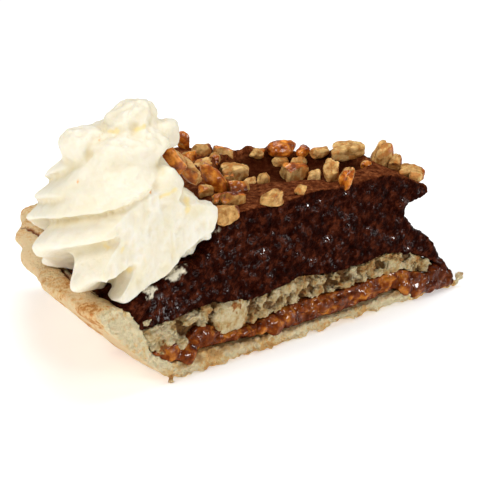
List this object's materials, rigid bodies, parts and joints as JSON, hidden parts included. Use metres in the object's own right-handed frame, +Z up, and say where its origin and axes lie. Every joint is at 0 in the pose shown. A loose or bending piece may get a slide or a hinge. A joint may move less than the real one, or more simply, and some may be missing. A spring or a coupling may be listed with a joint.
{
  "type": "chocolate mousse pie slice",
  "caption": "Wedge-shaped slice of layered chocolate mousse pie with a pastry crust, chopped nuts on top and a piped rosette of whipped cream at the rim.",
  "frame": {"origin": "on the underside of the crust, below the middle of the slice's box", "axes": "+X from the crust's rim to the slice's tip, +Z up, and -Y towards the cut face that the picture shows"},
  "size_m": [0.1276, 0.089, 0.0679],
  "materials": {
    "baked_crust": "dry, crumbly baked pastry, pale at the cut and golden outside",
    "pecan_filling": "wet, sticky amber filling",
    "nut_layer": "dry, crumbly pale nut pieces",
    "chocolate_mousse": "dark chocolate mousse, moist at the cut and matt on top, with chopped nuts",
    "whipped_cream": "soft satin whipped cream"
  },
  "bodies": {
    "root": {"crust": "baked_crust", "filling": "pecan_filling", "nut_layer": "nut_layer", "mousse": "chocolate_mousse", "whipped_cream": "whipped_cream"}
  },
  "joints": []
}
